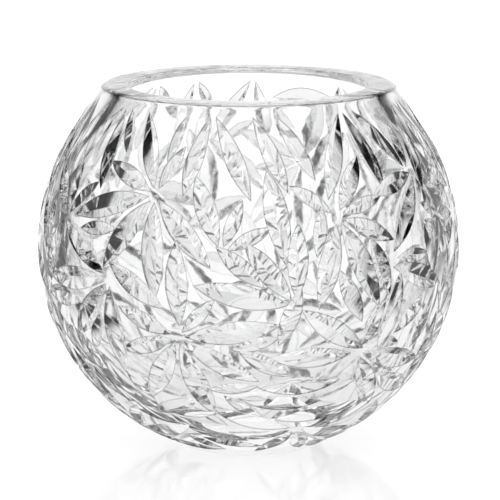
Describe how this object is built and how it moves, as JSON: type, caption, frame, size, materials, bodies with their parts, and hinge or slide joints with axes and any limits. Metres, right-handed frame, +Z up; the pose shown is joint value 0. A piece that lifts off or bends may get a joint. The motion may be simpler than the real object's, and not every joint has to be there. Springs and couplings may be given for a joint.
{
  "type": "rose bowl vase",
  "caption": "Ball-shaped rose bowl vase of clear cut crystal, with a wide flat-rimmed mouth, a flat foot and a wall covered in V-cut sprays of leaves.",
  "frame": {"origin": "centre of the flat underside of the foot", "axes": "+Z up along the bowl's axis of revolution, out of the mouth; +X and +Y are level, and the pictured side faces -Y"},
  "size_m": [0.2, 0.2, 0.1731],
  "materials": {
    "crystal": "clear, polished"
  },
  "bodies": {
    "root": {"bowl": "crystal"}
  },
  "joints": []
}
